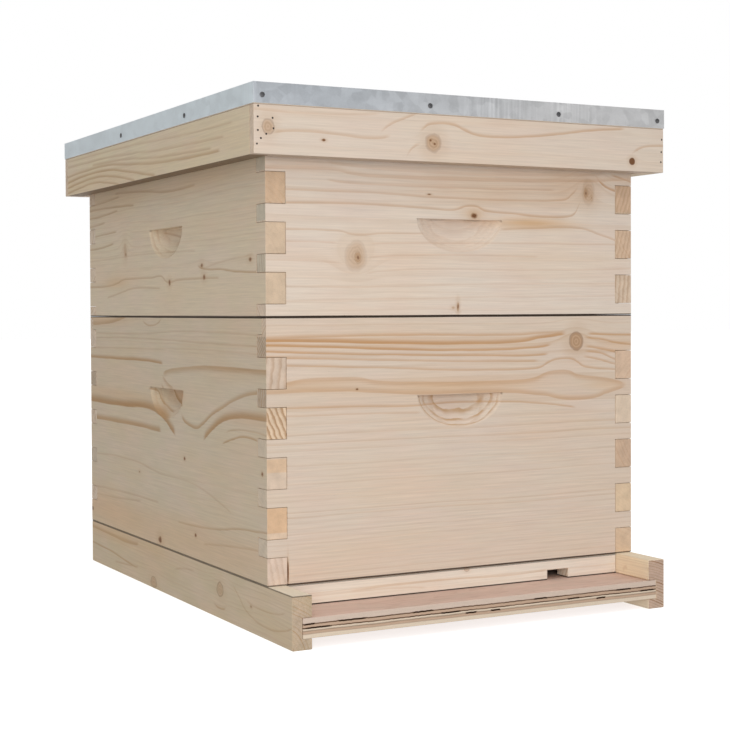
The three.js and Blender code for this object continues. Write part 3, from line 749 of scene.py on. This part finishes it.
board(
    "medium_front", "medium_front_board", "front", BOARD_EASE,
    Rings(centre=95, pith=80, spacing=4.6, contrast=0.22, wander=5, fade_from=80, fade_to=110,
          faded=0.75),
    knots=[Knot(92.5, 112, 11, 15, 1.2, 0.5, 0.0, 0.10),
           Knot(94.5, 113.5, 3.6, 5.4, 1.0, 0.7, 0.12, 0.2),
           Knot(359, 45, 7.5, 13, 2.2, 0.5, 0.0, 0.08),
           Knot(356, 45.5, 2.8, 4.8, 1.0, 0.8, 0.2, 0.2),
           Knot(363, 50, 2.0, 4.0, 1.0, 0.5, 0.05, 0.0),
           Knot(222.5, 71.5, 3.8, 2.8, 3.0, 1.0, 0.5),
           Knot(203.8, 159.5, 1.7, 5.6, 1.4, 0.9, 0.2, 0.1),
           Knot(198.5, 160.5, 2.4, 1.4, 1.6, 0.7, 0.0, 0.0),
           Knot(172, 52.3, 2.4, 0.8, 1.4, 0.9, 0.4)],
    zones=[Zone(288, 77, 44, 5.5, 0.85), Zone(250, 52, 110, 14, 0.28),
           Zone(330, 40, 26, 20, 0.26), Zone(222, 69, 14, 6, 0.5)],
    lines=[
        Line([(-30, 36), (60, 33), (90, 36.5), (120, 38), (200, 38), (300, 36), (420, 30)],
             4, 0.28),
        Line([(60, 24), (100, 30), (200, 32), (300, 30), (380, 26)], 3, 0.18),
        Line([(60, 41), (100, 45), (200, 45.5), (320, 44)], 2.5, 0.28),
        Line([(-30, 54), (100, 53), (170, 55), (250, 56), (325, 54), (338, 48), (348, 36)],
             2.5, 0.38),
        Line([(-30, 66), (100, 64), (170, 66), (196, 67), (220, 62.5), (236, 67), (270, 69),
              (310, 71), (334, 70), (346, 60), (351, 46)], 2.5, 0.5),
        Line([(250, 85), (300, 82), (340, 81), (375, 88), (400, 96)], 2.5, 0.42),
        Line([(-30, 89), (72, 89), (95, 92.5), (120, 91), (170, 90)], 2, 0.38),
        Line([(-30, 100), (60, 100), (76, 102)], 2, 0.25),
        Line([(106, 101), (130, 100), (180, 99), (420, 97)], 2, 0.25),
        Line([(-30, 117), (60, 118), (80, 121)], 2, 0.2),
        Line([(103, 117), (112, 113), (150, 111), (300, 111)], 2, 0.22),
        Line([(100, 130), (160, 124), (300, 124), (420, 121)], 2, 0.16),
        Line([(-30, 140), (90, 141), (240, 138), (430, 137)], 2, 0.15),
        Line([(-30, 155), (150, 152), (430, 149)], 2, 0.14),
        Line([(366, 26), (376, 36), (386, 41), (400, 43.5)], 3, 0.6),
        Line([(385, 26), (405, 31), (430, 36)], 2.5, 0.5),
    ],
    fingers=finger_ends(
        9, False, (26, (0.62, 0.54, 0.41), 0.8), (71.5, (0.60, 0.54, 0.42), 0.8),
        (118, (0.60, 0.54, 0.42), 0.8, 0.1, 5.0, 0.3)),
    seams=(0.0, 1.0), tall=MEDIUM_TALL, layers=0.18, seed=2)

board(
    "medium_left", "medium_left_board", "left", BOARD_EASE,
    Rings(centre=150, pith=70, spacing=4.6, contrast=0.18, wander=6),
    knots=[Knot(126, 94, 5.5, 9, 2.0, 0.55, 0.0, 0.0), Knot(129, 99, 2.6, 3.6, 2.0, 0.6, 0.3, 0.0),
           Knot(264, 133, 4.6, 4.0, 2.0, 0.75, 0.35, 0.0),
           Knot(353, 117.5, 4.6, 3.2, 2.0, 0.7, 0.3, 0.0),
           Knot(359, 129, 4.6, 3.6, 2.0, 0.75, 0.35, 0.0),
           Knot(471, 115, 5.0, 3.0, 2.0, 0.75, 0.35, 0.0)],
    zones=[Zone(40, 30, 110, 18, 0.20), Zone(95, 130, 42, 7, 0.45), Zone(200, 34, 200, 10, 0.25),
           Zone(440, 32, 120, 9, 0.2)],
    lines=[
        Line([(-30, 38), (30, 37), (110, 33)], 2.6, 0.45),
        Line([(-30, 46), (30, 43), (90, 44), (160, 46)], 2.6, 0.5),
        Line([(-30, 53), (40, 52), (105, 48.5)], 2.6, 0.5),
        Line([(-30, 63), (10, 62.5), (60, 60)], 2.6, 0.4),
        Line([(-10, 76), (40, 74), (100, 72)], 2.4, 0.45),
        Line([(-30, 90), (40, 89), (90, 85)], 2.6, 0.5),
        Line([(90, 29), (150, 31), (200, 34), (260, 38), (340, 37)], 3, 0.45),
        Line([(-30, 134), (60, 134), (100, 131), (130, 127), (210, 127), (235, 126), (262, 133),
              (290, 131), (400, 131)], 2.4, 0.42),
        Line([(340, 116), (365, 122), (400, 123), (440, 126), (540, 129)], 2.4, 0.55),
        Line([(350, 122), (400, 116), (480, 111)], 2.0, 0.2),
        Line([(60, 148), (120, 141), (150, 138), (240, 139)], 2.4, 0.35),
        Line([(-30, 104), (60, 103), (200, 101), (340, 103)], 2.0, 0.2),
        Line([(220, 79), (250, 83), (280, 86), (300, 85)], 2.4, 0.4),
    ],
    fingers=finger_ends(
        15, True, (48.5, (0.71, 0.50, 0.33), 0.75), (95, (0.73, 0.56, 0.40), 0.8),
        (141, (0.74, 0.57, 0.41), 0.8)),
    early=EARLY_SIDE, end=END_WARM, streak=STREAK_SIDE, seams=(0.0, 0.9), tall=MEDIUM_TALL,
    layers=0.4, seed=4)

board(
    "medium_right", "medium_right_board", "right", BOARD_EASE,
    Rings(centre=60, pith=58, spacing=3.6, contrast=0.34, wander=5),
    knots=[Knot(330, 118, 6, 8, 3.0, 0.7), Knot(96, 40, 2.5, 3.5, 3.0, 0.7)],
    fingers=finger_ends(
        15, False, (48.5, (0.72, 0.50, 0.34), 0.7, -0.35, 5.0, 0.3),
        (95, (0.75, 0.54, 0.38), 0.7, -0.25, 5.0, 0.3),
        (141, (0.76, 0.60, 0.46), 0.8, -0.1, 5.5, 0.4)),
    early=EARLY_SIDE, end=END_WARM, seams=(0.0, 1.0), tall=MEDIUM_TALL, seed=6)

board(
    "medium_rear", "medium_rear_board", "rear", BOARD_EASE,
    Rings(centre=40, pith=60, spacing=3.4, contrast=0.4, wander=5),
    knots=[Knot(290, 110, 6, 8, 3.0, 0.7), Knot(75, 64, 2.5, 3.0, 3.0, 0.7)],
    seams=(0.0, 1.0), tall=MEDIUM_TALL, seed=8)

# ---------- bottom board

board(
    "rail_left", "bottom_rail_left", "left", RAIL_EASE,
    Rings(centre=62, pith=26, spacing=3.2, contrast=0.24, wander=5),
    knots=[Knot(210, 42, 9, 6, 1.8, 0.55), Knot(394, 20, 8, 7, 1.8, 0.55),
           Knot(468, 24, 2.4, 1.4, 2.0, 0.6, 0.2)],
    swells=[Swell(500, 24, 46, 14, 10), Swell(395, 42, 16, 8, 0, 4)],
    zones=[Zone(40, 6, 110, 10, 0.4), Zone(190, 6, 120, 12, 0.3), Zone(205, 26, 60, 12, 0.25)],
    lines=[
        Line([(-30, 7), (60, 9), (120, 10), (165, 7)], 4, 0.5),
        Line([(-30, 26), (60, 28), (110, 31.5), (160, 35)], 2.4, 0.6),
        Line([(80, 39), (120, 36), (165, 33)], 2.4, 0.4),
        Line([(376, 34), (384, 38), (394, 39), (404, 38), (411, 34)], 2.4, 0.6),
        Line([(270, 20), (300, 14), (330, 12)], 2.2, 0.3),
        Line([(455, 20), (480, 23), (520, 22), (545, 16)], 2.0, 0.35),
        Line([(424, 10), (440, 20), (462, 32), (500, 38), (540, 34), (560, 26)], 2.2, 0.4),
    ],
    early=(0.67, 0.55, 0.375), end=(0.81, 0.79, 0.80), seams=(0.7, 0.0), streak=STREAK_SIDE,
    level=Level(RAIL_TOP_LIT, 0.8), seed=9)
board(
    # The right rail's pale early colour is painted light, brightening its inner face beyond what
    # the lamps give it.
    "rail_right", "bottom_rail_right", "right", RAIL_EASE,
    Rings(centre=120, pith=-40, spacing=2.7, contrast=0.5, wander=3),
    knots=[Knot(180, 24, 6, 7, 3.0, 0.7)],
    early=(1.0, 0.87, 0.64), end=(0.64, 0.55, 0.57), level=Level(RAIL_TOP_LIT, 0.5), seed=10)
board(
    "cleat", "bottom_rear_cleat", "rear", RAIL_EASE,
    Rings(centre=-30, pith=40, spacing=2.8, contrast=0.4, wander=2), seed=11)
board(
    "reducer", "entrance_reducer", "front", REDUCER_EASE,
    Rings(centre=40, pith=44, spacing=4.2, contrast=0.30, wander=3),
    knots=[Knot(193, 1, 3, 2, 2.5, 0.5)],
    lines=[Line([(60, 12), (160, 9), (240, 11), (290, 9)], 2.0, 0.25),
           Line([(-20, 14), (90, 12), (150, 15)], 2.0, 0.18)],
    seams=(0.6, 1.0), tall=19.2, early=(0.89, 0.82, 0.72), seed=12)

FLOOR_GLUE = (
    Glue(12.7, 0.85, 1.0, ((0, 12), (32, 66), (110, 134), (244, 262), (340, 362))),
    Glue(9.2, 0.85, 1.0, ((0, 27), (140, 164), (284, 300), (372, 392))),
    Glue(6.7, 0.9, 0.5, ((168, 182), (195, 208), (318, 330))),
    Glue(3.9, 0.7, 0.25),
)

finished("bottom_floor", PLY_EASE,
         plywood("plywood_floor", "bottom_floor", FLOOR_GLUE, seed=1))

# ---------- covers

board(
    "rim_front", "cover_rim_front", "front", RIM_EASE,
    Rings(centre=70, pith=70, spacing=5.0, contrast=0.16, wander=6),
    knots=[Knot(14, 19.5, 6.0, 7.0, 1.8, 0.7, 0.0, 0.28),
           Knot(184, 26.5, 8.5, 8.8, 1.5, 0.8, 0.0, 0.22),
           Knot(181, 24, 1.5, 1.3, 1.4, 0.9, 0.5), Knot(185.5, 27.2, 1.5, 1.3, 1.4, 0.9, 0.5),
           Knot(417, 34, 3.3, 3.3, 2.4, 1.0, 0.9, 0.7), Knot(69, 29, 2.2, 1.3, 2.0, 1.0, 0.5)],
    zones=[Zone(60, 5, 60, 5, 0.12)],
    lines=[
        Line([(16, 26), (45, 22.5), (85, 24), (115, 25.5), (130, 24.5), (140, 18)], 3.5, 0.42),
        Line([(126, 21), (138, 12), (152, 6), (170, -1)], 2.8, 0.42),
        Line([(-20, 4), (60, 6), (130, 2)], 2.5, 0.2),
        Line([(168, 22), (174, 13.5), (185, 9), (200, 8.5), (218, 13), (236, 17.5), (260, 18),
              (288, 16), (327, 11.5), (364, 6.5), (410, 2)], 3, 0.5),
        Line([(153, 46), (158, 36), (172, 28)], 2.8, 0.42),
        Line([(415, 29), (424, 22.5), (436, 19), (470, 17)], 2.8, 0.48),
    ],
    early=(0.80, 0.68, 0.565), level=Level(UNDERSIDE, 0.3), seed=13)
board(
    "rim_rear", "cover_rim_rear", "rear", RIM_EASE,
    Rings(centre=60, pith=40, spacing=3.6, contrast=0.45, wander=6),
    knots=[Knot(120, 24, 6, 7, 3.0, 0.7)], seed=16)
board(
    "rim_left", "cover_rim_left", "left", RIM_EASE,
    Rings(centre=54, pith=40, spacing=5.0, contrast=0.18, wander=5),
    zones=[Zone(160, 34, 200, 14, 0.25)],
    lines=[
        Line([(-20, 11), (130, 12), (200, 14), (330, 20), (480, 23)], 3, 0.32),
        Line([(-20, 24), (50, 21), (130, 20), (190, 23.5), (290, 31), (380, 34), (470, 35)],
             3.4, 0.52),
        Line([(-20, 31), (50, 26.5), (110, 25), (160, 27), (200, 31.5), (250, 38), (300, 44)],
             3.2, 0.6),
        Line([(-20, 37), (50, 32.5), (100, 30.5), (150, 33), (200, 39), (240, 46)], 3.0, 0.55),
        Line([(-20, 43), (50, 38.5), (90, 36.5), (140, 39.5), (190, 46)], 2.6, 0.5),
        Line([(90, 16), (200, 19), (300, 26), (380, 29), (450, 31)], 2.8, 0.36),
        Line([(-20, 4), (200, 6), (400, 11), (500, 12)], 2.4, 0.25),
    ],
    early=(0.80, 0.69, 0.495), streak=STREAK_SIDE, level=Level(UNDERSIDE, 0.85), seed=14)
board(
    "rim_right", "cover_rim_right", "right", RIM_EASE,
    Rings(centre=20, pith=30, spacing=3.8, contrast=0.5, wander=6),
    knots=[Knot(300, 20, 5, 6, 3.0, 0.75)], early=EARLY_SIDE, seed=15)

PANEL_GLUE = (
    Glue(14.5, 0.7, 0.8, ((60, 90),)),
    Glue(10.5, 0.7, 0.8),
    Glue(6.5, 0.7, 0.8, ((200, 240),)),
    Glue(3.0, 0.5, 0.4),
)

finished("cover_panel", PLY_EASE,
         plywood("plywood_cover", "cover_panel", PANEL_GLUE, seed=2))

zinc = galvanised()
steel = nail_steel("nail_steel", NAIL_GREY, NAIL_BRIGHT, 0.85)
brad_steel = nail_steel("brad_steel", BRAD_BROWN, BRAD_RUST, 0.0)
finished("cover_metal_sheet", SHEET_EASE, zinc)
for node in sorted(nodes):
    if node.startswith("cover_nail"):
        finished(node, SMALL_EASE, steel)

INNER_GLUE = (Glue(4.2, 0.5, 0.8), Glue(1.8, 0.5, 0.8))

# Brads that pin the corner laps of the rims: how far each is from the board's end and its top.
LEFT_BRADS = ((4.4, 1.8), (3.9, 11.3), (4.0, 23.2), (6.9, 30.1), (3.0, 35.2), (18.4, 11.8),
              (19.2, 21.0), (12.1, 26.2))
RIGHT_BRADS = ((2.1, 10.5), (2.6, 23.1), (3.2, 33.3))
BRAD_RADIUS = 0.95
BRAD_PROUD = 0.14
BRAD_LENGTH = 12.0
BRAD_SIDES = 12
BRAD_BEVEL = 0.1


def brads(name, rim, outwards):
    """Round heads just proud of a rim's outside, with shanks that run on into the lap."""
    low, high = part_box(rim)
    face_y = low.y if outwards < 0 else high.y
    first, last = (low.x, high.x) if outwards < 0 else (high.x, low.x)
    along = math.copysign(MM, last - first)
    spots = [(first + across * along, high.z - down * MM) for across, down in LEFT_BRADS]
    spots += [(last - across * along, high.z - down * MM) for across, down in RIGHT_BRADS]
    shape = bmesh.new()
    length = (BRAD_LENGTH + BRAD_PROUD) * MM
    for x, z in spots:
        middle = Vector((x, face_y - outwards * (length / 2 - BRAD_PROUD * MM), z))
        bmesh.ops.create_cone(
            shape, cap_ends=True, segments=BRAD_SIDES, radius1=BRAD_RADIUS * MM,
            radius2=BRAD_RADIUS * MM, depth=length,
            matrix=Matrix.Translation(middle) @ Matrix.Rotation(math.pi / 2, 4, "X"))
    rims = [e for e in shape.edges
            if all(abs(v.co.y - face_y - outwards * BRAD_PROUD * MM) < WELD for v in e.verts)]
    bmesh.ops.bevel(shape, geom=rims, offset=BRAD_BEVEL * MM, segments=1, affect="EDGES")
    shown(name, shape, "outer_cover", [brad_steel])


brads("rim_brads_front", "cover_rim_front", -1)
brads("rim_brads_rear", "cover_rim_rear", 1)

finished("inner_cover_panel", SMALL_EASE,
         plywood("plywood_inner", "inner_cover_panel", INNER_GLUE, seed=3))
for side, seed in (("front", 17), ("rear", 18), ("left", 19), ("right", 20)):
    board(f"inner_{side}", f"inner_cover_rim_{side}", side, INNER_RIM_EASE,
          Rings(centre=-20, pith=30, spacing=3.0, contrast=0.4, wander=3), seed=seed)

# ---------- frames

BAR_WOOD, END_WOOD, WAX_SHEET = 0, 1, 2

top_bar_box = seen_from("deep_frame_01_top_bar", "top")
end_bar_box = seen_from("deep_frame_01_front_end_bar", "upright")
bar_wood = pine(
    "pine_frame_bars", top_bar_box,
    Rings(centre=60, pith=40, spacing=2.6, contrast=0.45, wander=4), early=FRAME_EARLY, seed=21)
end_wood = pine(
    "pine_frame_ends", end_bar_box,
    Rings(centre=70, pith=30, spacing=2.4, contrast=0.45, wander=3), early=FRAME_EARLY, seed=22)
wax = beeswax()
end_bars = [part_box(f"deep_frame_01_{end}_end_bar") for end in ("front", "rear")]
end_stretches = [(low.y, high.y) for low, high in end_bars]
wax_low, wax_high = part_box("deep_frame_01_foundation")
wax_half = (wax_high.x - wax_low.x) / 2
TOLERANCE = 0.3 * MM
SQUARELY = 0.9                         # how squarely a face of the wax looks along X


def frame_finish(face, middle_x, top):
    """Which material one face of a joined frame takes, from where it lies."""
    spot = face.calc_center_median()
    if abs(face.normal.x) > SQUARELY and abs(abs(spot.x - middle_x) - wax_half) < TOLERANCE:
        return WAX_SHEET
    at_end = any(low - TOLERANCE < spot.y < high + TOLERANCE for low, high in end_stretches)
    return END_WOOD if at_end and spot.z < top - TOLERANCE else BAR_WOOD


for box in ("deep", "medium"):
    for number in range(1, 11):
        node = f"{box}_frame_{number:02d}"
        if node not in nodes:          # the first deep frame is five nodes
            continue
        low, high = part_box(node)
        shape = copied(node, FRAME_EASE)
        for face in shape.faces:
            face.material_index = frame_finish(face, (low.x + high.x) / 2, high.z)
        shown(f"{node}_finished", shape, nodes[node]["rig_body"],
              [bar_wood, end_wood, wax], [node])

for part in ("top_bar", "bottom_bar"):
    finished(f"deep_frame_01_{part}", FRAME_EASE, bar_wood)
for end in ("front", "rear"):
    finished(f"deep_frame_01_{end}_end_bar", FRAME_EASE, end_wood)
finished("deep_frame_01_foundation", SMALL_EASE, wax)

# ---------- camera

YAW, PITCH, ROLL = math.radians(27.41), math.radians(-1.27), math.radians(-0.28)
# The eye's place: left of and in front of the boxes' near corner, and above the ground.
EYE_LEFT, EYE_FRONT, EYE_HEIGHT = 0.56958, 1.24359, 0.29989
LENS, SENSOR = 74.55, 36
SHIFT_X, SHIFT_Y = 0.0342, -0.0296
box_corner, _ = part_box("deep_front_board")
aim = Vector((math.sin(YAW) * math.cos(PITCH), math.cos(YAW) * math.cos(PITCH), math.sin(PITCH)))
level_right = Vector((math.cos(YAW), -math.sin(YAW), 0))
level_up = level_right.cross(aim)
right = level_right * math.cos(ROLL) + level_up * math.sin(ROLL)
up = level_up * math.cos(ROLL) - level_right * math.sin(ROLL)
camera = bpy.data.objects.new("camera", bpy.data.cameras.new("camera"))
camera.data.lens = LENS
camera.data.sensor_width = SENSOR
camera.data.shift_x = SHIFT_X
camera.data.shift_y = SHIFT_Y
turn = Matrix((right, up, -aim)).transposed()
eye = Vector((box_corner.x - EYE_LEFT, box_corner.y - EYE_FRONT, EYE_HEIGHT))
camera.matrix_world = Matrix.Translation(eye) @ turn.to_4x4()
link(camera)
bpy.context.scene.camera = camera

# ---------- stage and light

LAMP_AIM = 0.25                        # height of the spot that the softbox faces
FLOOR_WHITE = (0.86, 0.86, 0.86)
FLOOR_GLOW = 0.62


def lamp(name, kind, energy, towards):
    """A lamp that shines from that direction, and its light's settings."""
    light = bpy.data.lights.new(name, kind)
    light.energy = energy
    holder = bpy.data.objects.new(name, light)
    holder.rotation_mode = "QUATERNION"
    holder.rotation_quaternion = towards.to_track_quat("Z", "Y")
    link(holder)
    return holder, light


def sun(name, azimuth, elevation, irradiance, spread):
    """Soft light from a compass direction: azimuth 0 is the front, 90 the right side."""
    a, e = math.radians(azimuth), math.radians(elevation)
    towards = Vector((math.sin(a) * math.cos(e), -math.cos(a) * math.cos(e), math.sin(e)))
    _, light = lamp(name, "SUN", irradiance, towards)
    light.angle = math.radians(spread)


def softbox(name, azimuth, distance, height, side, watts):
    """A square lamp that faces the boxes' near corner, so its light falls off along both sides."""
    a = math.radians(azimuth)
    near_corner = Vector((box_corner.x, box_corner.y, LAMP_AIM))
    spot = Vector((
        near_corner.x + math.sin(a) * distance, near_corner.y - math.cos(a) * distance, height))
    holder, light = lamp(name, "AREA", watts, spot - near_corner)
    holder.location = spot
    light.size = side


def white_world(ambient):
    """White behind the object, and an even dimmer light all round."""
    world = bpy.data.worlds.new("studio")
    world.use_nodes = True
    tree = world.node_tree
    background = tree.nodes["Background"]
    path = tree.nodes.new("ShaderNodeLightPath")
    strength = tree.nodes.new("ShaderNodeMapRange")
    strength.inputs["To Min"].default_value = ambient
    strength.inputs["To Max"].default_value = 1.0
    background.inputs["Color"].default_value = (1, 1, 1, 1)
    tree.links.new(path.outputs["Is Camera Ray"], strength.inputs["Value"])
    tree.links.new(strength.outputs[0], background.inputs["Strength"])
    bpy.context.scene.world = world


def pale_floor(reach):
    mesh = bpy.data.meshes.new("floor")
    corners = ((-1, -1), (1, -1), (1, 1), (-1, 1))
    mesh.from_pydata([(x * reach, y * reach, 0) for x, y in corners], [], [(0, 1, 2, 3)])
    floor = bpy.data.objects.new("floor", mesh)
    floor.location.z = cad_low.z
    g = Graph("floor_white")
    mesh.materials.append(g.finish(
        FLOOR_WHITE, 0.9, Emission_Color=(1, 1, 1), Emission_Strength=FLOOR_GLOW))
    floor.visible_diffuse = False
    link(floor)
    floor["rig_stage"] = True


bpy.context.scene.view_settings.view_transform = "Standard"
white_world(ambient=0.425)
sun("overhead", azimuth=0, elevation=75, irradiance=1.05, spread=90)
softbox("key", azimuth=-20, distance=1.7, height=0.50, side=0.75, watts=11.4)
pale_floor(reach=14)

# ---------- size

low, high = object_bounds()
